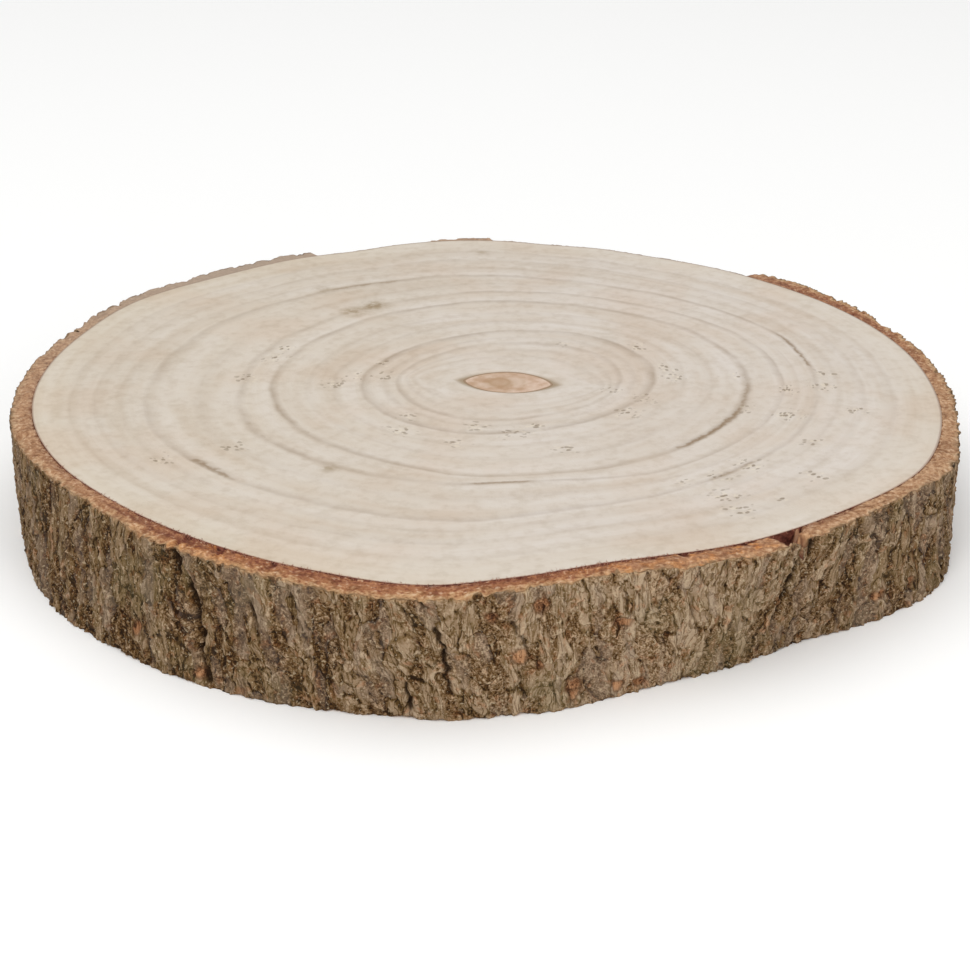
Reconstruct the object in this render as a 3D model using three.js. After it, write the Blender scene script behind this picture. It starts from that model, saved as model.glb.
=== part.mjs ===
// Wood slice: a disc sawn straight across a round trunk, with its bark still on.
// Millimetres, +Z up. The slice lies on its lower sawn face, with the origin in the middle of that face.
// A heading is an angle in degrees about Z, anticlockwise from +X as seen from above.

import * as THREE from "three";

// Driving dimensions
const THICKNESS = 30; // from sawn face to sawn face
const INNER_BARK = 1.6; // thin layer that stays on the wood where the bark has come away
const PEEL_EDGE = 3; // height of the broken edge between whole bark and inner bark
const RIDGE_HEIGHT = 0.7; // the bark's coarse ridges, to each side of its mean surface
const HEADINGS = 240; // facets around the rim
const LEVELS = 10; // facets from one sawn face to the other

// Radius of the wood under the bark, at the upper face: rows of heading, millimetres
const WOOD_RADIUS = [
  [0, 115.2], [14, 114.8], [30, 115.7], [45, 117.1], [54, 118.0], [65, 118.4], [73, 120.2], [80, 120.4],
  [88, 122.9], [95, 123.3], [102, 121.6], [109, 118.7], [118, 118.9], [131, 117.1], [146, 118.3],
  [160, 116.4], [173, 114.3], [190, 113.6], [208, 113.1], [222, 112.7], [236, 114.1], [252, 116.2],
  [264, 118.3], [273, 114.5], [285, 110.5], [301, 112.9], [316, 115.2], [331, 118.3], [347, 116.8],
];

// Thickness of the bark: rows of heading, millimetres
const BARK_THICKNESS = [
  [0, 4.9], [15, 5.2], [30, 6.0], [45, 6.0], [60, 5.4], [80, 5.0], [88, 3.0], [98, 2.8], [106, 4.4],
  [115, 4.4], [128, 5.4], [145, 4.1], [160, 4.1], [175, 5.5], [198, 5.9], [212, 4.4], [224, 4.7],
  [232, 6.5], [246, 6.4], [262, 8.0], [271, 6.3], [282, 5.2], [298, 6.6], [312, 4.9], [324, 3.9],
  [336, 5.6], [348, 3.9],
];

// How far the lower rim stands out past the upper one, because the trunk wasn't straight:
// rows of heading, millimetres
const FOOT_SPREAD = [
  [0, -1.4], [90, 0], [170, -0.6], [185, -1.4], [197, -0.4], [206, 2.6], [215, 5.4], [224, 5.2],
  [231, 3.7], [242, 3.0], [250, 0.8], [259, -2.6], [263, -3.4], [268, -0.6], [273, 0.8], [279, 1.7],
  [287, -0.8], [298, -5.4], [309, -6.0], [320, -0.8], [331, 0.6], [343, -1.4],
];

// How far down from the upper face the bark has come away at the back: rows of heading, millimetres
const PEEL_DEPTH = [
  [0, 0], [47, 0], [50, 11], [58, 18], [70, 21], [80, 17], [86, 10], [89, 0], [97, 0], [100, 9], [105, 15],
  [110, 12], [113.5, 0], [120, 0],
];

// The bark's coarse ridges in three sizes: how many stand around the trunk, their share of the ridge
// height, and, in radians, where they start at the foot and how far they drift on the way to the top
const RIDGES = [
  { count: 19, share: 0.4, start: 0, drift: 0.8 },
  { count: 31, share: 0.35, start: 2, drift: -1.1 },
  { count: 47, share: 0.25, start: 4, drift: 0.5 },
];

// Value of a table at a heading, on a closed smooth curve through the table's rows.
function around(table, heading) {
  const count = table.length;
  const row = (i) => {
    const turns = Math.floor(i / count);
    const [angle, value] = table[i - turns * count];
    return { angle: angle + 360 * turns, value };
  };
  const slope = (i) => {
    const before = row(i - 1);
    const after = row(i + 1);
    return (after.value - before.value) / (after.angle - before.angle);
  };
  const wanted = THREE.MathUtils.euclideanModulo(heading, 360);
  const i = table.findLastIndex(([angle]) => angle <= wanted);
  const start = row(i);
  const end = row(i + 1);
  const span = end.angle - start.angle;
  const t = (wanted - start.angle) / span;
  const blend = THREE.MathUtils.smoothstep(t, 0, 1);
  const bow = span * t * (1 - t) * (slope(i) * (1 - t) - slope(i + 1) * t);
  return THREE.MathUtils.lerp(start.value, end.value, blend) + bow;
}

// Height of the bark's coarse ridges above its mean surface.
function barkRidges(heading, z) {
  const turn = THREE.MathUtils.degToRad(heading);
  const climb = z / THICKNESS;
  const wave = ({ count, share, start, drift }) => share * Math.cos(count * turn + start + drift * climb);
  return RIDGE_HEIGHT * RIDGES.reduce((sum, ridge) => sum + wave(ridge), 0);
}

// Thickness of what is left of the bark at a heading and a height.
function barkLeft(heading, z) {
  const whole = around(BARK_THICKNESS, heading) + barkRidges(heading, z);
  const peel = around(PEEL_DEPTH, heading);
  if (peel <= 0) {
    return whole;
  }
  const lowest = THICKNESS - peel - PEEL_EDGE / 2;
  const bare = THREE.MathUtils.smoothstep(z, lowest, lowest + PEEL_EDGE);
  return THREE.MathUtils.lerp(whole, INNER_BARK, bare);
}

// Outer radius of the slice at a heading and a height.
function rimRadius(heading, z) {
  const spread = around(FOOT_SPREAD, heading) * (1 - z / THICKNESS);
  return around(WOOD_RADIUS, heading) + spread + barkLeft(heading, z);
}

// The slice starts as a plain round disc, and each point of its rim is moved out to the bark.
function sliceGeometry() {
  const disc = new THREE.CylinderGeometry(1, 1, THICKNESS, HEADINGS, LEVELS);
  disc.rotateX(Math.PI / 2);
  disc.translate(0, 0, THICKNESS / 2);
  const points = disc.getAttribute("position");
  for (let i = 0; i < points.count; i += 1) {
    const x = points.getX(i);
    const y = points.getY(i);
    const heading = THREE.MathUtils.radToDeg(Math.atan2(y, x));
    const radius = rimRadius(heading, points.getZ(i));
    points.setXY(i, x * radius, y * radius);
  }
  disc.computeBoundingBox();
  const middle = disc.boundingBox.getCenter(new THREE.Vector3());
  disc.translate(-middle.x, -middle.y, 0);
  disc.computeVertexNormals();
  return disc;
}

const paleWood = new THREE.MeshStandardMaterial({ color: 0xd4c9bb, roughness: 0.85, metalness: 0 });
const slice = new THREE.Mesh(sliceGeometry(), paleWood);
slice.name = "wood_slice";

const woodSlice = new THREE.Group();
woodSlice.add(slice);

export default woodSlice;
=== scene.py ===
import math
import random

import bpy
import numpy as np
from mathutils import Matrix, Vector, noise


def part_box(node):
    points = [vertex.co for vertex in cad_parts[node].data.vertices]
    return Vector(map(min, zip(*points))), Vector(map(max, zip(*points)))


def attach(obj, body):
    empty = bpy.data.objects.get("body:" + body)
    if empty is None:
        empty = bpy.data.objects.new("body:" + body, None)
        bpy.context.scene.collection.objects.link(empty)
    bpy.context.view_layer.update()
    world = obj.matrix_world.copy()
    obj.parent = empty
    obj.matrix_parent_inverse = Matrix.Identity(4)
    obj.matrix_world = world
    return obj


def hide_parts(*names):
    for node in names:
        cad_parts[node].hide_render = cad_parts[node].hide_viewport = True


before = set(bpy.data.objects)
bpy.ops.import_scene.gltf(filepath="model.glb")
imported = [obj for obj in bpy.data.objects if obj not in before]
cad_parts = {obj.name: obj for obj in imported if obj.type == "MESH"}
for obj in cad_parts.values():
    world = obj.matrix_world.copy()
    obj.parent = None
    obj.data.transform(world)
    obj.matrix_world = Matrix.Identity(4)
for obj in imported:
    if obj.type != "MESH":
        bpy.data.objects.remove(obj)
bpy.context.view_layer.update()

# A slice sawn across a young trunk, bark and all, lying on its lower sawn face.
# Sizes are in millimetres until a mesh is made. A heading is an angle in degrees about the trunk,
# anticlockwise from +X seen from above, so the front of the slice is at 270.

MM = 0.001
LOWEST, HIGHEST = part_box("wood_slice")
THICKNESS = (HIGHEST.z - LOWEST.z) / MM

# Mesh fineness: points round the trunk, rows down the bark and across its rim, and the spacing of rings on
# the sawn faces, away from the pith and near it. It starts small at the wood's edge and grows inwards.
HEADINGS = 1440
SIDE_ROWS = 52
RIM_STEPS = (0.0, 0.08, 0.18, 0.29, 0.4, 0.52, 0.64, 0.76, 0.87, 0.95)
FOOT_RIM_STEPS = (0.7, 0.35, 0.0)
TOP_SPACINGS = (1.3, 0.8)
FOOT_SPACINGS = (6.0, 3.0)
FIRST_STEP = 0.8
STEP_GAIN = 1.4
FEWEST_POINTS = 180
NARROWEST = 0.55
PITH_REACH = 24.0

# The trunk: radius of the wood at the upper face, thickness of the bark, and how far the foot stands out
WOOD_RADIUS = (
    (0, 115.9), (14, 116.0), (30, 116.4), (45, 117.1), (54, 118.0), (65, 118.4), (73, 120.2), (80, 120.4),
    (88, 122.9), (95, 123.3), (102, 121.6), (109, 118.7), (118, 118.9), (131, 117.1), (146, 118.3),
    (160, 115.8), (173, 114.9), (190, 114.2), (208, 113.1), (222, 112.3), (236, 113.7), (252, 116.7),
    (264, 118.9), (273, 115.0), (285, 110.5), (301, 112.9), (316, 114.4), (331, 117.7), (347, 116.8),
)
BARK_THICKNESS = (
    (0, 4.2), (15, 4.2), (30, 5.4), (45, 6.0), (60, 5.4), (80, 5.0), (88, 3.0), (98, 2.8), (106, 4.4),
    (115, 4.4), (128, 5.4), (145, 4.1), (160, 4.4), (175, 4.9), (198, 5.5), (212, 4.4), (224, 4.7),
    (232, 6.4), (246, 6.0), (262, 7.4), (271, 5.8), (282, 5.2), (298, 6.4), (312, 5.0), (324, 4.2),
    (336, 5.8), (348, 3.9),
)
FOOT_SPREAD = (
    (0, -1.4), (90, 0), (170, -0.6), (185, -1.4), (197, -0.4), (206, 2.6), (215, 5.4), (224, 5.2),
    (231, 3.7), (242, 3.0), (250, 0.8), (259, -2.6), (263, -3.4), (268, -0.6), (273, 0.8), (279, 1.7),
    (287, -0.8), (298, -5.4), (309, -6.0), (320, -0.8), (331, 0.6), (343, -1.4),
)
MEAN_RADIUS = 120.0

# Bark that has come away at the back: how far down, the thin inner bark that stays, its soft and ragged
# edge, and the depth from which the edge is fully ragged and the rim above it fully weathered
PEEL_DEPTH = (
    (0, 0), (48, 0), (50.5, 11), (58, 18), (70, 21), (80, 17), (86, 10), (89, 0), (97, 0), (100, 9),
    (105, 15), (110, 13), (115, 0), (121, 0),
)
INNER_BARK = 0.7
PEEL_EDGE = 0.8
PEEL_RAGGED = 2.2
RAGGED_FROM = 4.0
WEATHERED_FROM = 5.0

# The wood: its pith is off centre, and is an eye-shaped lens that has sunk a little
PITH = (6.7, 1.9)
EDGE_GROWTH = 115.0
EYE_HALF_WIDTH = 14.6
EYE_HALF_DEPTH = 8.0
EYE_TILT = -8.0
PITH_HALF_WIDTH = 11.6
PITH_HALF_DEPTH = 7.6
PITH_CORNER = 1.4
PITH_KNOT = (4.6, 2.0)
EYE_GROWTH = 9.5
EYE_SINK = 0.35
EYE_BRIM = (0.6, -0.8)
EYE_ROUND = 30.0
RING_FOLLOW = 1.5
TWELFTH = 30

# Courses of the plainest growth rings: nominal growth, then growth at each twelfth of a turn about the pith
RING_COURSES = (
    (37, (38, 40.5, 41, 38, 36, 35.5, 37, 37.5, 37, 35, 33.5, 34.5)),
    (61, (63, 64.5, 63.5, 62.5, 61, 59, 59.5, 60, 60, 61.5, 62, 61)),
    (69, (73, 74, 72, 71, 68.5, 66.5, 66.5, 69.5, 68, 65, 69.5, 69.5)),
    (84, (82, 84.5, 83, 84, 86.5, 87, 89, 90, 87, 84.5, 81.5, 79.5)),
    (96, (94, 95.5, 94.5, 97.5, 98, 98.5, 100.5, 101, 98.5, 95.5, 94, 92)),
)

# Dark lines of the rings: growth, soft reach inwards, and how dark. The first few are drawn in one ramp.
# Each has a shoulder just inside it, of so much of its darkness, and stops just outside it.
RINGS = (
    (20.0, 2.5, 0.14), (24.0, 1.8, 0.16), (28.2, 1.8, 0.34), (32.0, 1.8, 0.16), (37.2, 2.6, 0.52),
    (45.0, 2.0, 0.15), (52.0, 2.4, 0.14), (61.2, 2.0, 0.46), (69.2, 1.8, 0.34), (76.0, 2.8, 0.13),
    (84.2, 2.2, 0.36), (90.0, 2.8, 0.14), (96.5, 3.6, 0.17), (104.0, 3.4, 0.16),
)
INNER_RINGS = 7
SHOULDER = 0.8
SHOULDER_SHARE = 0.6
RING_STOP = 1.0
RING_WANDER = 2.4

# Stretches where a ring is darker: growth, heading about the pith, half its span, strength
DARK_ARCS = (
    (61, 328, 17, 1.0), (61, 348, 14, 0.6), (69, 268, 7, 0.7), (84, 17, 11, 0.85), (84, 117, 9, 0.6),
    (84, 312, 7, 0.65), (84, 219, 6, 0.8), (61, 205, 20, 0.3), (37, 158, 26, 0.25), (37, 225, 40, 0.15),
    (69, 214, 16, 0.35), (84, 50, 20, 0.3), (28, 215, 30, 0.2), (69, 30, 30, 0.2),
)
ARC_REACH = 4.0
ARC_ENDS = (1.3, 0.6)
ARC_WIDTH = 0.9
ARC_RINGS = (28.0, 37.0, 45.0, 61.0, 69.0, 84.0)

# Brown stains on the upper face: place, radius, strength
STAINS = (
    (-31, 62, 3.6, 0.9), (-36, 57, 3.6, 0.7), (-46, 76, 3.4, 0.4), (-20, 43, 7.0, 0.14),
    (0, 111, 2.2, 0.5), (-36, -55, 2.4, 0.7), (-25, 84, 18.0, 0.1), (22, 94, 22.0, 0.08),
    (-88, 14, 18.0, 0.1), (-92, -14, 16.0, 0.1), (57, -60, 3.0, 0.35), (-85, -32, 32.0, 0.06),
    (-52, 92, 10.0, 0.1),
)

# Clusters of small torn pits on the upper face: place and radius
PIT_CLUSTERS = (
    (-61, 4, 4), (-55, 20, 4), (-53, 27, 3.5), (-38, 0, 3.5), (-33, 6, 4), (-26, 6, 4), (42, -10, 3.5),
    (49, 12, 4), (42, 28, 3.5), (94, -18, 4), (76, -22, 4), (-60, -42, 4), (56, -72, 5), (58, -80, 5),
    (55, -60, 4), (-20, -32, 4), (8, -33, 5), (36, -20, 4), (88, -2, 4), (66, 6, 3.5), (90, 8, 3.5),
    (20, -44, 3.5), (-76, -50, 4), (64, -54, 5), (78, -60, 5), (-25, 15, 3), (-18, -23, 3), (-1, -29, 4),
    (13, -29, 3), (-6, -40, 3.5), (50, 5, 3.5), (33, -4, 3), (66, -18, 3), (78, -4, 3.5), (80, -39, 3.5),
    (69, -73, 3), (46, -63, 3), (22, 30, 2),
)

# The cut rim lies a little lower than the wood and crumbles towards its corner. Its grain runs out from
# the wood, so in its flow that way is shorter.
RIM_SINK = 0.15
CORNER_FROM = 0.55
CUT_FLOW = 1.2

# Dark holes torn in the cut rim: heading, half width, how far out across the rim, depth
RIM_WOUNDS = (
    (306.2, 4.0, 0.95, 3.2), (240.2, 1.6, 0.45, 1.0), (235.6, 1.0, 0.7, 0.7), (300.4, 1.2, 0.3, 0.6),
    (293.0, 1.0, 0.28, 0.5), (28.0, 1.4, 0.4, 0.7), (39.0, 1.8, 0.5, 0.9), (247.5, 1.0, 0.4, 0.6),
)
HOLE_EDGE = (1.05, 0.8)

# Dark seams along the cut rim, where layers have parted: first and last heading, how far out, strength
RIM_SEAMS = (
    (219, 241, 0.36, 0.85), (282, 291, 0.05, 0.5), (294, 302, 0.06, 0.5), (307, 319, 0.14, 0.45),
    (14, 48, 0.35, 0.5), (203, 213, 0.3, 0.35), (166, 214, 0.02, 0.45), (244, 258, 0.3, 0.4),
    (266, 279, 0.2, 0.45),
)
SEAM_WIDTH = 0.1
SEAM_END = 0.2
SEAM_WANDER = 0.16
SEAM_DEPTH = 0.25

# Where the cut rim is orange with splinters: heading, strength
RIM_ORANGE = (
    (0, 0), (90, 0), (180, 0), (228, 0.1), (239, 0.8), (246, 0.2), (270, 0), (280, 0.2), (284, 0.8),
    (290, 0.6), (297, 1.0), (304, 0.9), (309, 0.2), (330, 0),
)

# Where the cut rim of the bark is red, and where torn red fibres fringe the wood: heading, strength
RIM_REDNESS = (
    (0, 0.2), (14, 0.6), (25, 0.7), (40, 0.8), (50, 0.5), (60, 0.1), (100, 0.1), (120, 0), (150, 0),
    (180, 0.15), (205, 0.2), (220, 0.45), (235, 0.85), (262, 1), (280, 0.95), (288, 0.55), (300, 0.45),
    (315, 0.15), (340, 0.1),
)
FRINGE = (
    (0, 0), (60, 0), (120, 0), (180, 0), (205, 0.05), (222, 0.3), (236, 0.5), (250, 0.35), (265, 0.4),
    (280, 0.6), (290, 0.5), (300, 0.3), (312, 0.1), (330, 0),
)

# Where the cut rim has weathered grey: heading, strength
RIM_WEATHERED = (
    (0, 0), (50, 0.1), (100, 0.5), (120, 0.85), (142, 0.75), (160, 0.35), (180, 0.1), (205, 0), (270, 0),
)

# Loose fibres: how many are tried, roots outside the wood's edge, spread of direction in degrees, and
# sizes. Each is a prism with a three-cornered section, which is thinner at its middle and ends in a point.
FIBRE_TRIES = 5000
FIBRE_ROOTS = (-0.1, 1.1)
FIBRE_SPREAD = 55.0
FIBRE_LENGTH = (0.3, 1.0)
FIBRE_BEND = 0.16
FIBRE_THICKNESS = (0.05, 0.11)
FIBRE_MIDDLE = 0.7
FIBRE_SINK = 0.3
FIBRE_RISE = 0.1
FIBRE_LIFT = (0.02, 0.4)
FIBRE_SECTION = ((-1, -0.5), (1, -0.5), (0, 1))
FIBRE_FACES = ((2, 1, 0), (0, 1, 4, 3), (1, 2, 5, 4), (2, 0, 3, 5), (3, 4, 6), (4, 5, 6), (5, 3, 6))
FIBRE_SPOTS = ((0.2, 0.2), (0.5, 0.2), (0.8, 0.2), (0.2, 0.5), (0.5, 0.5), (0.8, 0.5), (0.5, 0.8))

# How far the bark's flow leans from upright, in degrees, positive if it goes anticlockwise on its way down
GRAIN_LEAN = ((0, -3), (90, 3), (180, 9), (230, 13), (258, 9), (275, 5), (300, 1), (330, -2))

# How much paler or darker the bark is than most of it: heading, step of tone
PALENESS = (
    (0, -0.03), (90, 0), (180, -0.07), (222, -0.1), (250, -0.02), (266, 0.08), (276, 0.13), (290, 0.19),
    (304, 0.06), (325, -0.02),
)

# Where the bark is smoother by the upper edge: heading, strength, and how far down it ends and is full
CALM_EDGE = ((0, 0), (60, 0), (100, 0.6), (150, 0.65), (172, 0.6), (195, 0.5), (215, 0.25), (235, 0))
CALM_REACH = (9.0, 3.0)

# Deep cracks: heading and height at the upper end, heading and height at the lower end, half width, depth.
# They thin out at their ends, and their painted shade is full from a depth.
CRACKS = (
    (235.8, 30, 236.6, 23, 0.8, 2.0), (237.8, 25, 239.4, 16, 0.8, 2.2), (239.4, 18, 239.9, 6, 0.9, 2.6),
    (239.9, 7, 240.8, 0, 1.1, 2.6), (265.6, 25, 266.8, 8, 0.5, 1.6), (266.9, 11, 267.2, 6, 0.5, 1.4),
    (262.7, 10, 262.8, 1, 0.55, 1.5), (263.8, 30, 264.9, 27, 0.8, 1.2), (272.6, 24, 275.2, 13.4, 0.5, 1.1),
    (275.0, 13.6, 274.1, 10, 0.5, 1.0), (274.1, 11, 274.4, 1, 0.5, 0.8), (308.2, 30, 307.8, 23, 0.8, 2.0),
    (306.4, 26, 305.6, 18, 0.8, 2.0), (305.8, 19, 304.2, 8, 0.6, 1.5), (255.0, 23, 256.4, 6, 0.5, 0.9),
    (246.0, 24, 247.1, 12, 0.55, 1.1), (222.6, 22, 227.6, 5, 0.5, 0.8), (226.7, 30, 229.4, 13, 0.6, 0.9),
    (292.4, 25, 294.8, 10, 0.5, 0.8), (297.4, 30, 297.0, 17, 0.5, 0.7), (319.0, 30, 319.8, 16, 0.6, 1.1),
    (202.0, 30, 205.0, 12, 0.6, 1.1), (250.4, 29, 252.6, 14, 0.5, 0.8), (121.4, 32, 121.6, 24, 1.6, 1.6),
    (148.6, 32, 148.3, 22, 1.2, 2.6), (159.8, 32, 160.4, 23, 1.1, 2.6),
)
CRACK_END = (-0.02, 0.2)
LEAST_GAPE = 0.5
CRACK_FULL_SHADE_DEPTH = 1.8

# Scars where an outer flake has dropped off: heading, height, half width, half height
SCARS = (
    (271.0, 24.0, 1.7, 1.3), (273.8, 14.0, 1.9, 1.8), (279.6, 4.8, 2.6, 2.4), (284.8, 3.0, 2.2, 1.4),
    (287.4, 2.6, 1.9, 1.3), (325.8, 6.5, 1.4, 2.2), (320.3, 6.6, 2.4, 1.8), (239.7, 3.0, 2.0, 1.6),
    (276.0, 11.5, 1.1, 0.8), (276.2, 25.5, 1.8, 2.6), (285.0, 18.0, 2.6, 1.2), (231.0, 8.0, 1.6, 1.6),
)
SCAR_EDGE = (1.15, 0.6)
SCAR_DEPTH = 0.6

# Chips out of the bark's upper edge: heading, half width, depth
NOTCHES = ((306.9, 2.2, 1.6), (48.6, 2.0, 1.2), (196.8, 2.0, 1.2), (264.2, 1.6, 1.2), (292.0, 2.6, 1.0))

# Marks on the bark that faces away are drawn from this seed: the stretch of headings, how many, and the
# least and most of a crack's upper end, length, lean, half width and depth, or a scar's height and sizes
HIDDEN_SEED = 41
HIDDEN_FROM = 330.0
HIDDEN_SPAN = 236.0
HIDDEN_CRACKS = 34
HIDDEN_CRACK = ((10, 31), (6, 20), (-0.12, 0.12), (0.6, 1.1), (0.9, 2.4))
HIDDEN_SCARS = 20
HIDDEN_SCAR = ((2, 28), (1.5, 3.4), (1.4, 3.2))

# Random bumps, in layers: rise, width across the trunk, length along it, and the seed of the draw
SAW_WAVE = (0.07, 16.0, 16.0, 41)
FLOW_SWAY = ((2.2, 9, 13, 1), (2.2, 9, 13, 2), (3.0, 9, 13, 3))
SWELL = (0.5, 24, 40, 4)
PLATES = ((1.0, 5.0, 22, 5), (0.8, 3.0, 8, 6))
RIBS = (1.0, 1.9, 8, 7)
CRUMBS = (1.0, 2.0, 2.8, 8)
SMALL_CRUMBS = (0.8, 1.3, 1.6, 9)
FLAKING = ((2.4, 6.5, 11, 14), (0.8, 2.6, 4, 15))
PEEL_TEAR = ((1.0, 3.5, 3.5, 10), (0.5, 1.4, 1.4, 11))
STRIPPED_GRAIN = ((0.05, 2.2, 60, 12), (0.03, 9, 30, 13))
CRACK_WANDER = ((1.1, 60, 4.5, 21), (0.8, 60, 1.6, 22))
CRACK_GAPE = (0.8, 60, 2.4, 25)
SCAR_TEAR = ((0.5, 2.4, 2.4, 23), (0.35, 1.2, 1.2, 24))
NOTCH_WOBBLE = (0.8, 2.2, 2.2, 33)
RIM_ROUGH = ((0.3, 1.3, 1.3, 51), (0.25, 4.5, 4.5, 52))
RIM_TEAR = ((0.7, 1.7, 1.7, 53), (0.3, 0.7, 0.7, 54))
SEED_STEP = 17.3

# The bark's relief: steps up onto plates and flakes, ribs and crumbs off the plates and on them, and how a
# hollow is told from what lies round it, which sets the painted shade that darkens the hollows
PLATE_EDGE = 0.5
PLATE_STEP_EDGE = 0.2
PLATE_RISE = 0.6
FLAKE_RISE = 0.6
RIB_RISE = (0.2, 0.4)
CRUMB_RISE = (1.0, 0.4)
HOLLOW_REACH = 3
HOLLOW_DEPTH = 0.5

# Crumbling of the bark's sawn corners: mean, limits, layers of rise and size, seeds, and the foot's share
CHIP_MEAN = 0.2
CHIP_LIMITS = (0.05, 1.6)
CHIP_LAYERS = ((0.5, 9), (0.9, 2.4), (0.5, 1.1))
TOP_CHIP_SEED = 31
FOOT_CHIP_SEED = 36
FOOT_SHARE = 0.7

# Freshly broken bark by the sawn corners: how far it reaches, and how strong it is at the foot
FRESH_REACH = 0.7
FOOT_FRESH = 0.5

# The camera, where the photograph was taken from
CAMERA_PLACE = (0.75, -552.1, 241.5)
CAMERA_PITCH = 23.5
LENS = 85.0
SENSOR = 36.0
NEAREST = 0.01

# The studio, in metres and watts: each light's name, place, target, size and power, the floor and the sky
LIGHTS = (
    ("overhead", (-0.2, 0.2, 2.2), (0, 0, 0), 3.2, 30),
    ("front_left", (-0.5, -1.5, 1.4), (0, 0, 0.01), 1.0, 15),
    ("front_right", (1.2, -1.4, 0.9), (0, 0, 0.01), 1.2, 7),
)
FLOOR_HALF = 4.0
SKY = 0.4


# Numbers and curves

def smooth(value, low, high):
    """0 below low, 1 above high, and an even S between them."""
    t = np.clip((value - low) / (high - low), 0, 1)
    return t * t * (3 - 2 * t)


def lerp(a, b, t):
    """The value that is the share t of the way from a to b."""
    return a + (b - a) * t


def around(table, headings):
    """Values of rows of (heading, value) at the headings, on a closed smooth curve through the rows."""
    angle, value = np.array(table, float).T
    angle = np.concatenate((angle[-2:] - 360, angle, angle[:2] + 360))
    value = np.concatenate((value[-2:], value, value[:2]))
    slope = np.zeros_like(value)
    slope[1:-1] = (value[2:] - value[:-2]) / (angle[2:] - angle[:-2])
    wanted = np.mod(headings, 360)
    i = np.searchsorted(angle, wanted, side="right") - 1
    span = angle[i + 1] - angle[i]
    t = (wanted - angle[i]) / span
    bow = span * t * (1 - t) * (slope[i] * (1 - t) - slope[i + 1] * t)
    return lerp(value[i], value[i + 1], t * t * (3 - 2 * t)) + bow


def turn_between(a, b):
    """Signed angle from b to a, in degrees, the short way round."""
    return np.mod(a - b + 180, 360) - 180


def round_from(heading, headings):
    """Distance round the trunk from a heading to others, in mm."""
    return np.radians(turn_between(headings, heading)) * MEAN_RADIUS


def compass(headings):
    """Unit vectors in plan along the headings."""
    angle = np.radians(headings)
    return np.stack((np.cos(angle), np.sin(angle)), -1)


def bumps(points, *layers):
    """Smooth random bumps on the standing trunk, summed over their layers."""
    total = 0
    for rise, across, along, seed in layers:
        grid = points / (across, across, along) + seed * SEED_STEP
        values = [noise.noise(p) for p in grid.reshape(-1, 3).tolist()]
        total = total + rise * np.array(values).reshape(points.shape[:-1])
    return total


# The bark

def trunk_points(headings, heights, lean=0.0):
    """Points on a plain round trunk, sheared so that patterns on it lean with the bark's flow."""
    drift = np.degrees((THICKNESS - heights) * np.tan(np.radians(lean)) / MEAN_RADIUS)
    flat = compass(headings - drift) * MEAN_RADIUS
    return np.concatenate((flat, heights[..., None]), -1)


def hidden_marks(count, reaches, seed):
    """Headings on the part of the bark that faces away, each with a draw from every reach."""
    rng = random.Random(seed)
    headings = [HIDDEN_FROM + HIDDEN_SPAN * (i + rng.random()) / count for i in range(count)]
    return [(heading, *[rng.uniform(*reach) for reach in reaches]) for heading in headings]


def all_cracks():
    """The listed cracks, and others like them around the back."""
    cracks = list(CRACKS)
    hidden = hidden_marks(HIDDEN_CRACKS, HIDDEN_CRACK, HIDDEN_SEED)
    for heading, top, length, lean, width, depth in hidden:
        cracks.append((heading, top, heading + lean * length, top - length, width, depth))
    return cracks


def crack_depth(headings, heights, points):
    """How deep the cracks cut into the bark, and how far each point lies inside one, from 0 to 1."""
    wander = bumps(points, *CRACK_WANDER)
    gape = np.maximum(1 + bumps(points, CRACK_GAPE), LEAST_GAPE)
    deepest = np.zeros_like(heights)
    inside = np.zeros_like(heights)
    for top_heading, top, low_heading, low, width, depth in all_cracks():
        t = (top - heights) / (top - low)
        off = round_from(lerp(top_heading, low_heading, t), headings) + wander
        ends = smooth(t, *CRACK_END) * smooth(1 - t, *CRACK_END)
        profile = np.exp(-((off / (width * gape)) ** 2)) * ends
        deepest = np.maximum(deepest, depth * profile)
        # A crack's painted shade grows with its depth, and is full from a depth
        inside = np.maximum(inside, profile * min(depth / CRACK_FULL_SHADE_DEPTH, 1))
    return deepest, inside


def scar_mask(headings, heights, points):
    """1 on a scar, 0 off it, with a ragged edge. Some are listed, and others lie around the back."""
    ragged = bumps(points, *SCAR_TEAR)
    mask = np.zeros_like(heights)
    hidden = hidden_marks(HIDDEN_SCARS, HIDDEN_SCAR, HIDDEN_SEED + 1)
    for heading, height, half_width, half_height in (*SCARS, *hidden):
        away = np.hypot(round_from(heading, headings) / half_width, (heights - height) / half_height)
        mask = np.maximum(mask, smooth(away + ragged, *SCAR_EDGE))
    return mask


def blurred(grid, reach):
    """Mean of a grid of rows round the trunk over so many neighbours each way."""
    rows = np.pad(grid, ((reach, reach), (0, 0)), mode="edge")
    steps = range(2 * reach + 1)
    rows = sum(rows[k:k + len(grid)] for k in steps) / len(steps)
    return sum(np.roll(rows, k - reach, 1) for k in steps) / len(steps)


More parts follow.
